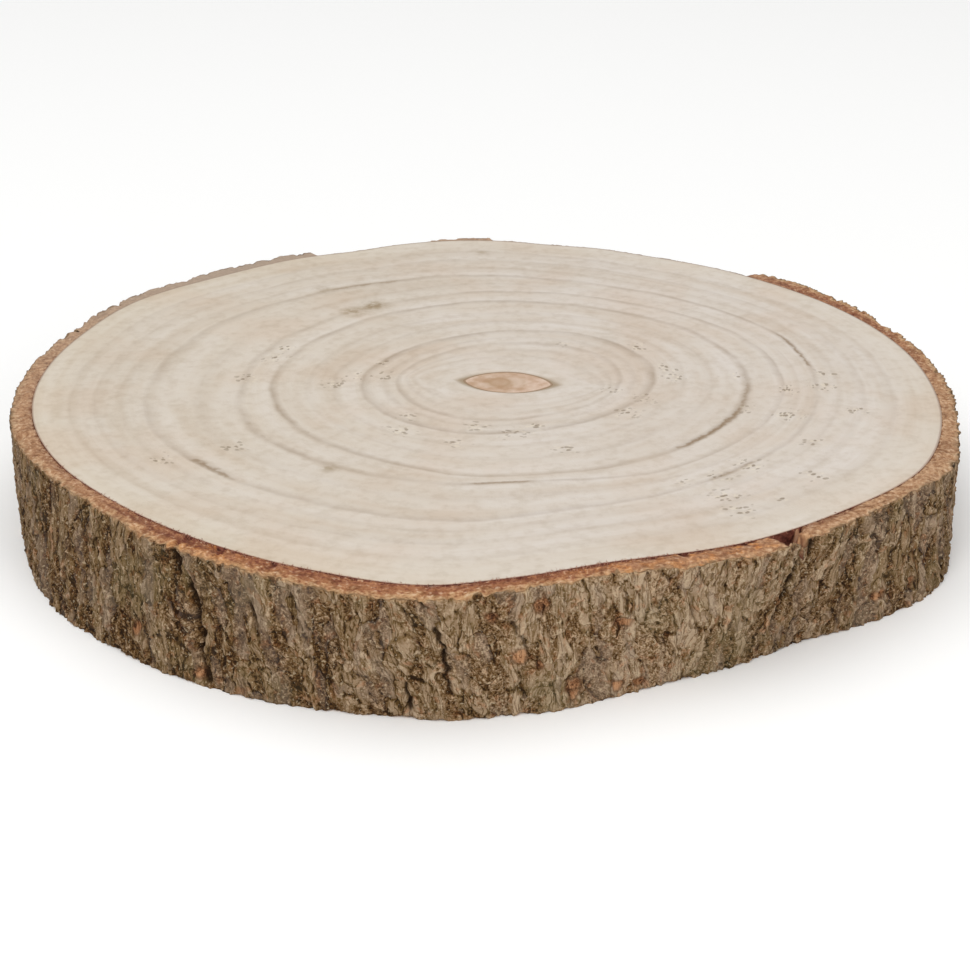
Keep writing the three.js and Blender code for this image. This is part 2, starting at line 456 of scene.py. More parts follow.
def bark_surface(headings, heights):
    """The trunk's outer surface: its radius, the flow of its fibres, and the marks that colour it."""
    upright = trunk_points(headings, heights)
    leaning = trunk_points(headings, heights, around(GRAIN_LEAN, headings))
    flow = leaning + np.stack([bumps(upright, way) for way in FLOW_SWAY], -1)

    # Plates and flakes are steps. Ribs and crumbs are rounded lumps with sharp creases between them.
    bands = bumps(flow, *PLATES)
    plate = smooth(bands, -PLATE_EDGE, PLATE_EDGE)
    ribs = np.abs(bumps(flow, RIBS))
    crumbs = np.abs(bumps(flow, CRUMBS)) + np.abs(bumps(upright, SMALL_CRUMBS))
    flaking = bumps(flow, *FLAKING)
    steps = PLATE_RISE * smooth(bands, -PLATE_STEP_EDGE, PLATE_STEP_EDGE)
    relief = bumps(upright, SWELL) + steps + FLAKE_RISE * (flaking - np.floor(flaking))
    relief = relief + lerp(*RIB_RISE, plate) * ribs + lerp(*CRUMB_RISE, plate) * crumbs
    relief = relief - relief.mean()
    near_top = smooth(THICKNESS - heights, *CALM_REACH)
    relief = relief * (1 - around(CALM_EDGE, headings) * near_top)

    depth, crack_painted_shade = crack_depth(headings, heights, upright)
    scar = scar_mask(headings, heights, upright)
    relief = relief - depth - SCAR_DEPTH * scar
    # How far a point lies below the relief round it: the mask of the painted shade in the hollows
    painted_shade_hollow = np.clip((blurred(relief, HOLLOW_REACH) - relief) / HOLLOW_DEPTH, -1, 1)

    peel = around(PEEL_DEPTH, headings)
    ragged = PEEL_RAGGED * bumps(upright, *PEEL_TEAR) * smooth(peel, 0, RAGGED_FROM)
    below = THICKNESS - heights + ragged
    bare = np.where(peel > 0, smooth(peel - below, -PEEL_EDGE / 2, PEEL_EDGE / 2), 0)
    whole = np.maximum(around(BARK_THICKNESS, headings) + relief, INNER_BARK)
    left = lerp(whole, INNER_BARK + bumps(upright, *STRIPPED_GRAIN), bare)

    spread = around(FOOT_SPREAD, headings) * (1 - heights / THICKNESS)
    radius = around(WOOD_RADIUS, headings) + spread + left
    marks = {
        "plate": plate, "painted_shade_hollow": painted_shade_hollow, "flaking": flaking, "paleness": around(PALENESS, headings),
        "crack_painted_shade": crack_painted_shade * (1 - bare), "scar": scar, "bare": bare,
    }
    return radius, flow, marks


def edge_chip(headings, seed):
    """How far the bark's sawn corner has crumbled away, in mm down from the face."""
    points = trunk_points(headings, np.zeros_like(headings))
    layers = [(rise, size, size, seed + i) for i, (rise, size) in enumerate(CHIP_LAYERS)]
    return np.clip(CHIP_MEAN + bumps(points, *layers), *CHIP_LIMITS)


def notch_depth(headings):
    """Depth of the chips that are listed, as rough V shapes."""
    wobble = bumps(trunk_points(headings, np.zeros_like(headings)), NOTCH_WOBBLE)
    depth = np.zeros_like(headings)
    for heading, half_width, deep in NOTCHES:
        off = np.abs(round_from(heading, headings) + wobble)
        depth = np.maximum(depth, deep * np.clip(1 - off / half_width, 0, 1))
    return depth


# The meshes, as rings of points

# Marks that the points carry for the finishes, and the order of the finishes on the bark and on the wood
WOOD_MARKS = ("growth", "eye", "ring_dark", "stain", "pitting", "fringe")
CUT_MARKS = ("growth", "layer", "redness", "wound", "orange")
GROWN_MARKS = ("plate", "painted_shade_hollow", "flaking", "paleness", "crack_painted_shade", "scar", "bare", "fresh")
CUT, GROWN = range(2)
SAWN, TORN = range(2)

# Where each part of a skin lies on the flat sheet that its finish is baked to. A disc is laid out in plan.
# A wall is cut upright into strips, which stand one above the other.
TOP_DISC = {"middle": (0.355, 0.64), "scale": 0.0028}
FOOT_DISC = {"middle": (0.855, 0.15), "scale": 0.00112}
WOOD_WALL = {"foot": 0.02, "strips": 1, "height": 0.01, "width": 0.68}
GROWN_SIDE = {"foot": 0.005, "strips": 4, "height": 0.155, "width": 0.984}
TOP_RIM = {"foot": 0.66, "strips": 4, "height": 0.045, "width": 0.984}
FOOT_RIM = {"foot": 0.875, "strips": 4, "height": 0.018, "width": 0.984}
BARK_WALL = {"foot": 0.982, "strips": 1, "height": 0.01, "width": 0.984}
STRIP_GAP = 0.008


def lens_radius(angle):
    """Distance from the middle of the pith to the outline of its eye, two arcs that meet in points."""
    arc = (EYE_HALF_WIDTH ** 2 + EYE_HALF_DEPTH ** 2) / (2 * EYE_HALF_DEPTH)
    offset = arc - EYE_HALF_DEPTH
    rise = np.abs(np.sin(angle - math.radians(EYE_TILT)))
    return -offset * rise + np.sqrt((offset * rise) ** 2 + arc ** 2 - offset ** 2)


def ring_plan(edge, growth):
    """Plan points of the growth ring at that nominal growth, and their headings about the pith."""
    spoke = edge - PITH
    length = np.hypot(*spoke.T)
    angle = np.arctan2(spoke[:, 1], spoke[:, 0])
    inner, inner_course = 0.0, np.zeros(len(edge))
    for outer, twelfths in (*RING_COURSES, (EDGE_GROWTH, (EDGE_GROWTH,) * (360 // TWELFTH))):
        outer_course = around([(TWELFTH * i, value) for i, value in enumerate(twelfths)], np.degrees(angle))
        if growth <= outer:
            break
        inner, inner_course = outer, outer_course
    share = lerp(inner_course, outer_course, (growth - inner) / (outer - inner)) / EDGE_GROWTH
    radius = lerp(share * EDGE_GROWTH, share * length, share ** RING_FOLLOW)
    eye = lens_radius(angle) * growth / EYE_GROWTH
    radius = lerp(eye, radius, smooth(growth, EYE_GROWTH, EYE_ROUND))
    return PITH + spoke / length[:, None] * radius[:, None], np.degrees(angle)


def spots(plan, places):
    """The strongest of soft round spots at points of a face, from rows of place, radius and strength."""
    most = np.zeros(len(plan))
    for x, y, radius, strength in places:
        away = np.hypot(plan[:, 0] - x, plan[:, 1] - y) / radius
        most = np.maximum(most, strength * np.exp(-away ** 2))
    return most


def face_marks(plan, growth, pith_heading, headings):
    """Stains, dark arcs, pits, the pith and the torn fringe at points of a sawn face."""
    dark = np.zeros(len(plan))
    for arc_growth, heading, half_span, strength in DARK_ARCS:
        off = turn_between(pith_heading, heading) / half_span
        near = np.exp(-((growth - arc_growth) / ARC_REACH) ** 2)
        dark = np.maximum(dark, strength * near * smooth(np.abs(off), *ARC_ENDS))
    tilt = np.radians(EYE_TILT)
    along = (plan - PITH) @ (np.cos(tilt), np.sin(tilt)) / PITH_HALF_WIDTH
    across = (plan - PITH) @ (-np.sin(tilt), np.cos(tilt)) / PITH_HALF_DEPTH
    return {
        "growth": np.full(len(plan), growth), "eye": along ** 2 + np.abs(across) ** PITH_CORNER,
        "ring_dark": dark, "stain": spots(plan, STAINS), "fringe": around(FRINGE, headings),
        "pitting": spots(plan, [(*cluster, 1.0) for cluster in PIT_CLUSTERS]),
    }


def face_rows(spacing, pith_spacing):
    """Growth and point count of a sawn face's rings, from just inside the wood's edge to the pith."""
    growth = EDGE_GROWTH
    step = FIRST_STEP
    count = HEADINGS
    rows = []
    while growth - step > FIRST_STEP:
        growth -= step
        if count > FEWEST_POINTS and 2 * math.pi * growth / count < NARROWEST * step:
            count //= 2
        rows.append((growth, count))
        step = min(step * STEP_GAIN, spacing) if growth > PITH_REACH else pith_spacing
    return rows


def ring(points, **marks):
    """One ring of a mesh."""
    return {"points": points, "marks": marks}


def laid(rings, finish, sheet, hidden=False):
    """Tells a run of rings the finish and the flat sheet of the bands that lead on from them."""
    for i, band in enumerate(rings):
        band.update(finish=finish, sheet=sheet, hidden=hidden, rows=(i / len(rings), (i + 1) / len(rings)))
    return rings


def at_height(plan, heights):
    """Points of a plan at one height, or each at its own."""
    return np.concatenate((plan, np.broadcast_to(heights, (len(plan),))[:, None]), 1)


def trunk_plan():
    """Headings of the mesh, their directions, and the wood's edge at the upper face and at the foot."""
    headings = np.arange(HEADINGS) * 360 / HEADINGS
    out = compass(headings)
    edge = out * around(WOOD_RADIUS, headings)[:, None]
    return headings, out, edge, edge + out * around(FOOT_SPREAD, headings)[:, None]


def sawn_face(edge, headings, height, up, spacings):
    """Rings of a sawn wood face, from the pith out to the wood's edge."""
    rings = []
    for growth, count in reversed(face_rows(*spacings)):
        pick = slice(None, None, HEADINGS // count)
        plan, pith_heading = ring_plan(edge[pick], growth)
        wave = bumps(at_height(plan, height), SAW_WAVE)
        sink = EYE_SINK * smooth(growth - EYE_GROWTH, *EYE_BRIM)
        points = at_height(plan, height - up * (sink + np.abs(wave)))
        rings.append(ring(points, **face_marks(plan, growth, pith_heading, headings[pick])))
    spoke = edge - PITH
    pith_heading = np.degrees(np.arctan2(spoke[:, 1], spoke[:, 0]))
    rings.append(ring(at_height(edge, height), **face_marks(edge, EDGE_GROWTH, pith_heading, headings)))
    return rings


def wood_rings():
    """Rings of the wood, from the pith of its upper face to the pith of its foot."""
    headings, _, edge, foot_edge = trunk_plan()
    top = sawn_face(edge, headings, THICKNESS, 1, TOP_SPACINGS)
    foot = sawn_face(foot_edge, headings, 0.0, -1, FOOT_SPACINGS)[::-1]
    wall = laid(top[-1:], TORN, WOOD_WALL, hidden=True)
    return laid(top[:-1], SAWN, TOP_DISC) + wall + laid(foot, SAWN, FOOT_DISC)


def rim_wounds(headings, step, points):
    """Depth of the holes and seams at each point of a ring of the cut rim, and how far inside one it is."""
    tear = bumps(points, *RIM_TEAR)
    depth = np.zeros_like(headings)
    inside = np.zeros_like(headings)
    for heading, half_width, far, deep in RIM_WOUNDS:
        hole = smooth(np.hypot(round_from(heading, headings) / half_width, step / far) + tear, *HOLE_EDGE)
        inside = np.maximum(inside, hole)
        depth = np.maximum(depth, deep * hole)
    for first, last, out, strength in RIM_SEAMS:
        along = turn_between(headings, first) / (last - first)
        ends = smooth(along, 0, SEAM_END) * smooth(along, 1, 1 - SEAM_END)
        seam = strength * ends * np.exp(-((step - out + SEAM_WANDER * tear) / SEAM_WIDTH) ** 2)
        inside = np.maximum(inside, seam)
        depth = np.maximum(depth, SEAM_DEPTH * seam)
    return depth, inside


def cut_rim(edge, outer, headings, steps, height, up, chip):
    """Rings of the bark's sawn rim, from the wood's edge out to where its crumbled corner begins."""
    rings = []
    width = np.hypot(*(outer - edge).T)
    peeled = smooth(around(PEEL_DEPTH, headings), 0, WEATHERED_FROM)
    bare = np.maximum(peeled, around(RIM_WEATHERED, headings))
    redness = around(RIM_REDNESS, headings)
    orange = around(RIM_ORANGE, headings)
    for step in steps:
        plan = lerp(edge, outer, step)
        points = at_height(plan, height)
        depth, inside = rim_wounds(headings, step, points)
        fall = RIM_SINK + chip * smooth(step, CORNER_FROM, 1) + bumps(points, *RIM_ROUGH) + depth
        marks = {"layer": np.full(HEADINGS, step), "wound": inside, "growth": EDGE_GROWTH + step * width}
        flow = compass(headings) * (MEAN_RADIUS + step * width * CUT_FLOW)[:, None]
        marks.update(redness=redness, orange=orange, bare=bare, flow=at_height(flow, height))
        rings.append(ring(at_height(plan, height - up * np.maximum(fall, 0)), **marks))
    return rings


def bark_rings():
    """Rings of the bark, from the wood's edge over its cut rim, down its grown side, in under the foot."""
    headings, out, edge, foot_edge = trunk_plan()
    top_chip = edge_chip(headings, TOP_CHIP_SEED) + notch_depth(headings)
    foot_chip = FOOT_SHARE * edge_chip(headings, FOOT_CHIP_SEED)
    top = THICKNESS - RIM_SINK - top_chip
    share = np.linspace(0, 1, SIDE_ROWS + 1)[:, None]
    heights = lerp(top, foot_chip, share)
    radius, flow, marks = bark_surface(np.broadcast_to(headings, heights.shape), heights)
    top_fresh = smooth(top - heights, FRESH_REACH, 0)
    marks["fresh"] = np.maximum(top_fresh, FOOT_FRESH * smooth(heights - foot_chip, FRESH_REACH, 0))
    marks["redness"] = np.broadcast_to(around(RIM_REDNESS, headings), heights.shape)
    marks["layer"] = np.ones_like(heights)
    marks["flow"] = flow

    side = []
    for row in range(SIDE_ROWS + 1):
        points = at_height(out * radius[row][:, None], heights[row])
        side.append(ring(points, **{name: values[row] for name, values in marks.items()}))
    outer = out * radius[0][:, None]
    foot_outer = out * radius[-1][:, None]
    rim = cut_rim(edge, outer, headings, RIM_STEPS, THICKNESS, 1, top_chip)
    foot_rim = cut_rim(foot_edge, foot_outer, headings, FOOT_RIM_STEPS, 0.0, -1, foot_chip)
    rings = laid(rim, CUT, TOP_RIM) + laid(side[:-1], GROWN, GROWN_SIDE)
    rings += laid(side[-1:] + foot_rim[:-1], CUT, FOOT_RIM)
    return rings + laid(foot_rim[-1:], CUT, BARK_WALL, hidden=True)


def sheet_places(sheet, points, columns, rows):
    """Places on the flat sheet of the corners of faces."""
    if "middle" in sheet:
        return sheet["middle"] + points[..., :2] * sheet["scale"]
    per_strip = HEADINGS / sheet["strips"]
    strip = np.floor((columns.min(1, keepdims=True) + 0.5) / per_strip)
    u = STRIP_GAP + sheet["width"] * (columns - strip * per_strip) / per_strip
    v = sheet["foot"] + strip * (sheet["height"] + STRIP_GAP) + sheet["height"] * (1 - rows)
    return np.stack((u, v + np.zeros_like(u)), -1)


def band_faces(first, second, start, next_start):
    """Corner numbers, columns and row steps of the faces between two rings."""
    a = len(first["points"])
    b = len(second["points"])
    i = np.arange(min(a, b))
    if a == b:
        shapes = (((i, 0), (i, 1), (i + 1, 1), (i + 1, 0)),)
    elif a < b:
        shapes = (
            ((i, 0), (2 * i, 1), (2 * i + 1, 1)), ((i, 0), (2 * i + 1, 1), (i + 1, 0)),
            ((i + 1, 0), (2 * i + 1, 1), (2 * i + 2, 1)),
        )
    else:
        shapes = (
            ((2 * i, 0), (i, 1), (2 * i + 1, 0)), ((2 * i + 1, 0), (i, 1), (i + 1, 1)),
            ((2 * i + 1, 0), (i + 1, 1), (2 * i + 2, 0)),
        )
    faces = []
    for shape in shapes:
        columns = np.stack([column for column, step in shape], 1)
        steps = np.array([step for column, step in shape])
        corners = np.where(steps, next_start + columns % b, start + columns % a)
        faces.append((corners, columns, steps))
    return faces


def skin(name, rings, mark_names, finishes, looped):
    """One closed mesh from rings, which loop back to the first or end in a middle point at both ends."""
    starts = np.cumsum([0] + [len(r["points"]) for r in rings])
    points = np.concatenate([r["points"] for r in rings])
    middles = np.zeros((0, 3)) if looped else np.stack([rings[end]["points"].mean(0) for end in (0, -1)])
    points = np.concatenate((points, middles))
    faces, slots, rounded, flat = [], [], [], []

    def keep(corners, band, columns, rows):
        """Takes in faces of a band, with their finish, shading and places on the flat sheet."""
        faces.extend(corners.tolist())
        slots.append(np.full(len(corners), band["finish"]))
        rounded.append(np.full(len(corners), not band["hidden"]))
        flat.append(sheet_places(band["sheet"], points[corners], columns, rows).reshape(-1, 2))

    following = [*range(1, len(rings))] + [0] * looped
    for k, after in enumerate(following):
        for corners, columns, steps in band_faces(rings[k], rings[after], starts[k], starts[after]):
            keep(corners, rings[k], columns, np.where(steps, rings[k]["rows"][1], rings[k]["rows"][0]))
    if not looped:
        for end, turn in ((0, 1), (len(rings) - 1, -1)):
            i = np.arange(len(rings[end]["points"]))
            middle = starts[-1] + (end > 0)
            fan = np.stack((np.full_like(i, middle), starts[end] + i, starts[end] + (i + 1) % len(i)), 1)
            keep(fan[:, ::turn], rings[end], None, None)

    mesh = bpy.data.meshes.new(name)
    mesh.from_pydata((points * MM).tolist(), [], faces)
    mesh.polygons.foreach_set("material_index", np.concatenate(slots))
    mesh.polygons.foreach_set("use_smooth", np.concatenate(rounded))
    for mark in mark_names:
        values = [np.asarray(r["marks"].get(mark, np.zeros(len(r["points"])))) for r in rings]
        values = np.concatenate(values + [np.zeros(len(middles))])
        mesh.attributes.new(mark, "FLOAT", "POINT").data.foreach_set("value", values)
    flow = np.concatenate([r["marks"].get("flow", r["points"]) for r in rings] + [middles])
    mesh.attributes.new("flow", "FLOAT_VECTOR", "POINT").data.foreach_set("vector", flow.ravel())
    mesh.uv_layers.new(name="OFBake").data.foreach_set("uv", np.concatenate(flat).ravel())
    for finish in finishes:
        mesh.materials.append(finish)
    mesh.update()
    return mesh


# Torn fibres

def torn_fibres(name, finish):
    """Loose fibres of inner bark that the saw dragged over the wood: bent prisms that end in a point."""
    rng = np.random.default_rng(HIDDEN_SEED)
    headings = rng.uniform(0, 360, FIBRE_TRIES)
    headings = headings[rng.random(FIBRE_TRIES) < around(FRINGE, headings)]
    count = len(headings)
    out = compass(headings)
    root = out * (around(WOOD_RADIUS, headings) + rng.uniform(*FIBRE_ROOTS, count))[:, None]
    way = compass(headings + 180 + rng.normal(0, FIBRE_SPREAD, count))
    side = np.stack((-way[:, 1], way[:, 0]), 1)
    length = rng.uniform(*FIBRE_LENGTH, count)[:, None]
    bend = rng.normal(0, FIBRE_BEND, count)[:, None]
    thick = rng.uniform(*FIBRE_THICKNESS, count)[:, None]
    lift = rng.uniform(*FIBRE_LIFT, count)

    middle = root + way * length / 2 + side * bend * length
    tip = root + way * length
    corners = []
    for place, height, size in ((root, -FIBRE_SINK, 1.0), (middle, FIBRE_RISE, FIBRE_MIDDLE)):
        for across, up in FIBRE_SECTION:
            plan = place + side * thick * size * across
            corners.append(at_height(plan, THICKNESS + height + thick[:, 0] * size * up))
    corners.append(at_height(tip, THICKNESS + lift))
    points = np.stack(corners, 1)
    faces = [[len(corners) * k + corner for corner in face] for k in range(count) for face in FIBRE_FACES]

    mesh = bpy.data.meshes.new(name)
    mesh.from_pydata((points.reshape(-1, 3) * MM).tolist(), [], faces)
    mesh.shade_smooth()
    shade = np.repeat(rng.random(count), len(corners))
    mesh.attributes.new("shade", "FLOAT", "POINT").data.foreach_set("value", shade)
    # Each fibre has a square of the flat sheet to itself
    cells = math.ceil(math.sqrt(count))
    cell = np.stack((np.arange(count) % cells, np.arange(count) // cells), 1)
    loops = [corner for face in FIBRE_FACES for corner in face]
    places = (cell[:, None] + np.array(FIBRE_SPOTS)[loops]) / cells
    mesh.uv_layers.new(name="OFBake").data.foreach_set("uv", places.ravel())
    mesh.materials.append(finish)
    mesh.update()
    return mesh


# Finishes

def linear(hex_colour):
    """Linear colour of an sRGB hex value."""
    channels = [int(hex_colour[i:i + 2], 16) / 255 for i in (1, 3, 5)]
    return (*[c / 12.92 if c <= 0.04045 else ((c + 0.055) / 1.055) ** 2.4 for c in channels], 1.0)


def fill(tree, node, inputs):
    """Sets a node's inputs, by name or in order: each a value, a hex colour, a node or a node's output."""
    if isinstance(inputs, dict):
        pairs = [(node.inputs[name], value) for name, value in inputs.items()]
    else:
        pairs = zip([socket for socket in node.inputs if socket.enabled], inputs)
    for socket, value in pairs:
        if isinstance(value, bpy.types.Node):
            value = next(output for output in value.outputs if output.enabled)
        if isinstance(value, bpy.types.NodeSocket):
            tree.links.new(value, socket)
        else:
            socket.default_value = linear(value) if isinstance(value, str) else value


def add(tree, kind, inputs=(), stops=(), **settings):
    """Adds a node with its settings, its inputs and its ramp's stops, in hex colours or shares of white."""
    made = tree.nodes.new("ShaderNode" + kind)
    for name, value in settings.items():
        setattr(made, name, value)
    if stops:
        ramp = made.color_ramp.elements
        while len(ramp) < len(stops):
            ramp.new(1.0)
        for element, (position, tone) in zip(ramp, stops):
            element.position = position
            element.color = linear(tone) if isinstance(tone, str) else (tone, tone, tone, 1.0)
    fill(tree, made, inputs)
    return made


# Settings and values that many nodes share
SOFT = {"interpolation_type": "SMOOTHSTEP"}
COLOUR = {"data_type": "RGBA"}
EITHER_WAY = {"To Min": -0.5, "To Max": 0.5}
HALF_WAY = 0.5


def coat(tree, under, colour, value, clear, full, most=1.0, where=None, **blend):
    """Lays a colour over another as a value runs from clear to full, at most so thick, and by a mask."""
    run = {"Value": value, "From Min": clear, "From Max": full, "To Max": most}
    thick = add(tree, "MapRange", run, **SOFT)
    if where:
        thick = add(tree, "Math", (thick, where), operation="MULTIPLY")
    return add(tree, "Mix", (thick, under, colour), **COLOUR, **blend)


def new_finish(name):
    """An empty material, its tree and its shader."""
    finish = bpy.data.materials.new(name)
    finish.use_nodes = True
    return finish, finish.node_tree, finish.node_tree.nodes["Principled BSDF"]


def read_mesh(tree, marks):
    """Places on the slice in mm, and the marks that its mesh carries."""
    place = add(tree, "VectorMath", (add(tree, "TexCoord").outputs["Object"], 1 / MM), operation="SCALE")
    return place, *[add(tree, "Attribute", attribute_name=mark).outputs["Fac"] for mark in marks]


# Sizes and places of the finishes' patterns, in mm. Wood cells and grit are drawn coarser, so as to show.
PATCH_SIZE = 30.0
BAND_WIDTH = 5.5
MOTTLE_SIZE = 2.6
YELLOW_FROM = 40.0
YELLOW_TO = -70.0
NEW_WOOD = 98.0
FINE_GROWTH = 1.3
RING_SWAY = 12.0
RING_STRETCH = 11.0
ARC_RAGGED = 2.4
ARC_TEAR = 3.0
CORNER_OUT = 0.3
CORNER_IN = 1.6
PITH_GRAIN = 3.5
KNOT_WANDER = 3.0
PIT_LENGTH = 1.6
PIT_WIDTH = 1.6
RAY_WIDTH = 0.35
RAY_LENGTH = 3.5
HAIR_REACH = 4.2
HAIR_START = -1.2
NAP_SIZE = 0.6
NAP_RISE = 0.2
CUT_LAYER_SWAY = 2.6
CUT_STREAK_LENGTH = 2.6
CUT_STREAK_WIDTH = 0.5
CUT_BLOTCH = 2.6
CUT_CRUMB = 1.3
CUT_CRUMB_RISE = 0.6
CUT_GRAIN = 1.1
FIBRE_SHAKE = 2.6
SHAKE_REACH = (1.8, 1.8, 1.8)
WRINKLE_GAP = 0.9
CRUMB_SIZE = 0.8
GRIT_SIZE = 0.42
BLOTCH_SIZE = 4.0
SPLIT_FLAKE = 4.0
ALGAE_PATCH = 16.0
WEATHERED_STREAK = 4.0
RUST_SPECK = 2.2
PALE_FLECK = 0.8
STRIPPED_FIBRE = 1.1
BARK_RISE = 0.35
FIBRE_STAIN = 1.2

# Patterns drawn out: the rings' one runs round a circle this small, and the bark's are longer up the trunk
RINGWISE = 6.0
WRINKLE_DRAWN = (1, 1, 0.16)
SPLIT_DRAWN = (1, 1, 0.5)
STREAK_DRAWN = (1, 1, 0.2)
STRIPPED_DRAWN = (1, 1, 0.04)

# Torn pits, in cells of their pattern: how far they are shaken, how far off a pale lip with a painted
# highlight lies, and crowding
PIT_SHAKE = (1.2, 1.2, 1.2)
PIT_HIGHLIGHT_LIP = (0.5, 0.4, 0.6)
PIT_CROWD = 0.5
FUZZ_RAYS = 2.0

# How much one mark counts for against another
ARC_STRENGTH = 0.7
ARC_FRAY = 1.2
OUTLINE_AT = 0.97
OUTLINE_HALF = 0.06
FUZZ_SHARE = 0.5
PIT_SINK = -1.5
LAYER_WANDER = 0.9
LAYER_STREAK = 0.6
OUTER_GRAIN = -0.2
WRINKLE_TONE = (0.36, 0.515)
# Crumbs lighter on their tops and darker between: partly their own mottle, partly painted light and shade
CRUMB_MOTTLE_AND_LIGHT = (0.46, 0.47)
FLAKE_GRIT = 0.1
# Painted shade in the bark's hollows
HOLLOW_PAINTED_SHADE = -0.12
SPLIT_SHADE = -0.35
FLAKE_SHADE = 0.22
# Painted highlight on the flakes' lips and painted shadow under them
LIP_PAINTED_LIGHT = 0.5
TONE_DROP = 0.345
FLAKE_WEATHER = 0.5
SCAR_SHARE = 0.9
REMAINS_SHARE = 0.5
WRINKLE_RISE = 0.4
GRIT_RISE = 0.4
SPLIT_SINK = -0.6
STRIPPED_RISE = 0.25
OWN_SHADE = 0.6
DRY_WOOD_IOR = 1.45


def sawn_pale_end_grain():
    """Pale dry sapwood sawn across the grain: matt cream, soft tan rings, torn pits and a red fringe."""
    finish, tree, shader = new_finish("sawn_pale_end_grain")
    place, growth, eye, ring_dark, stain, pitting, fringe = read_mesh(tree, WOOD_MARKS)

    # Directions about the pith, which let a pattern run along the rings or along the rays
    from_pith = add(tree, "VectorMath", (place, (*PITH, 0)), operation="SUBTRACT")
    flat = add(tree, "VectorMath", (from_pith, (1, 1, 0)), operation="MULTIPLY")
    outward = add(tree, "VectorMath", (flat,), operation="NORMALIZE")
    growth_up = add(tree, "CombineXYZ", {"Z": growth})
    along_rings = add(tree, "VectorMath", (outward, RINGWISE), operation="SCALE")
    ring_way = add(tree, "VectorMath", (along_rings, growth_up), operation="ADD")
    across_rays = add(tree, "VectorMath", (outward, EDGE_GROWTH / RAY_WIDTH), operation="SCALE")
    ray_step = add(tree, "VectorMath", (growth_up, 1 / RAY_LENGTH), operation="SCALE")
    ray_way = add(tree, "VectorMath", (across_rays, ray_step), operation="ADD")

    # Cream sapwood in soft bands along the rings, with faint patches and a small mottle
    bands = add(tree, "TexNoise", {"Vector": ring_way, "Scale": 1 / BAND_WIDTH, "Detail": 3.0})
    cream = add(tree, "ValToRGB", (bands,), ((0.32, "#cdc2b6"), (0.48, "#d2c9bf"), (0.64, "#d6cec6")))
    patches = add(tree, "TexNoise", {"Vector": place, "Scale": 1 / PATCH_SIZE, "Detail": 3.0})
    mottle = add(tree, "TexNoise", {"Vector": place, "Scale": 1 / MOTTLE_SIZE, "Detail": 5.0})
    for pattern, share, stops in (
        (patches, 1.0, ((0.36, "#faf4ee"), (0.52, "#fdfcfa"), (0.66, "#ffffff"))),
        (mottle, 0.5, ((0.32, "#e9e3db"), (0.52, "#fcfaf8"), (0.7, "#ffffff"))),
    ):
        shade = add(tree, "ValToRGB", (pattern,), stops)
        cream = add(tree, "Mix", (share, cream, shade), blend_type="MULTIPLY", **COLOUR)
    # The left side and the newest wood by the bark have dried yellower
    sideways = add(tree, "SeparateXYZ", (place,)).outputs["X"]
    cream = coat(tree, cream, "#fefdf9", sideways, YELLOW_FROM, YELLOW_TO, blend_type="MULTIPLY")
    cream = coat(tree, cream, "#fffefa", growth, NEW_WOOD, EDGE_GROWTH, blend_type="MULTIPLY")
    # Fine growth between the rings
    fine = add(tree, "TexNoise", {"Vector": ring_way, "Scale": 1 / FINE_GROWTH, "Detail": 4.0})
    cream = coat(tree, cream, "#b9a48d", fine, clear=0.46, full=0.72, most=0.09)

    # Growth rings: dark lines at their own growth, which wander a little and come and go
    wander = add(tree, "TexNoise", {"Vector": place, "Scale": 1 / RING_SWAY, "Detail": 5.0})
    wandered = add(tree, "Math", (wander, RING_WANDER, growth), operation="MULTIPLY_ADD")
    middle = -RING_WANDER / 2 / EDGE_GROWTH
    share = add(tree, "Math", (wandered, 1 / EDGE_GROWTH, middle), operation="MULTIPLY_ADD")
    lines = 0.0
    for rings in (RINGS[:INNER_RINGS], RINGS[INNER_RINGS:]):
        stops = []
        for at, reach, dark in rings:
            stops += [(at - reach, 0.0), (at - SHOULDER, SHOULDER_SHARE * dark)]
            stops += [(at, dark), (at + RING_STOP, 0.0)]
        ramp = add(tree, "ValToRGB", (share,), [(at / EDGE_GROWTH, tone) for at, tone in stops])
        lines = add(tree, "Math", (ramp, lines), operation="ADD")
    come_and_go = add(tree, "TexNoise", {"Vector": place, "Scale": 1 / RING_STRETCH, "Detail": 5.0})
    presence = add(tree, "MapRange", {
        "Value": come_and_go, "From Min": 0.34, "From Max": 0.62, "To Min": 0.35, "To Max": 0.95,
    })
    strength = add(tree, "Math", (ring_dark, ARC_STRENGTH, presence), operation="MULTIPLY_ADD")
    line_tone = add(tree, "Math", (lines, strength), operation="MULTIPLY", use_clamp=True)
    wood = add(tree, "Mix", (line_tone, cream, "#8a745c"), **COLOUR)

    # Dark arcs, which are stretches of a ring stained brown with ragged edges, and blotchy brown stains
    ragged = add(tree, "TexNoise", {"Vector": place, "Scale": 1 / ARC_RAGGED, "Detail": 5.0})
    torn_line = add(tree, "Math", (ragged, ARC_TEAR / EDGE_GROWTH, share), operation="MULTIPLY_ADD")
    arc_line = add(tree, "ValToRGB", (torn_line,), [
        ((at + ARC_TEAR / 2 + off) / EDGE_GROWTH, tone) for at in ARC_RINGS
        for off, tone in ((-ARC_WIDTH, 0.0), (0.0, 1.0), (ARC_WIDTH, 0.0))
    ])
    arc_edge = add(tree, "Math", (ragged, ARC_FRAY, ring_dark), operation="MULTIPLY_ADD")
    wood = coat(tree, wood, "#836a4c", arc_edge, clear=0.9, full=1.6, most=0.85, where=arc_line)
    blotchy = add(tree, "MapRange", {"Value": ragged, "From Min": 0.4, "From Max": 0.6, "To Min": 0.25})
    stain_tone = add(tree, "Math", (stain, blotchy), operation="MULTIPLY", use_clamp=True)
    wood = add(tree, "Mix", (stain_tone, wood, "#877049"), **COLOUR)

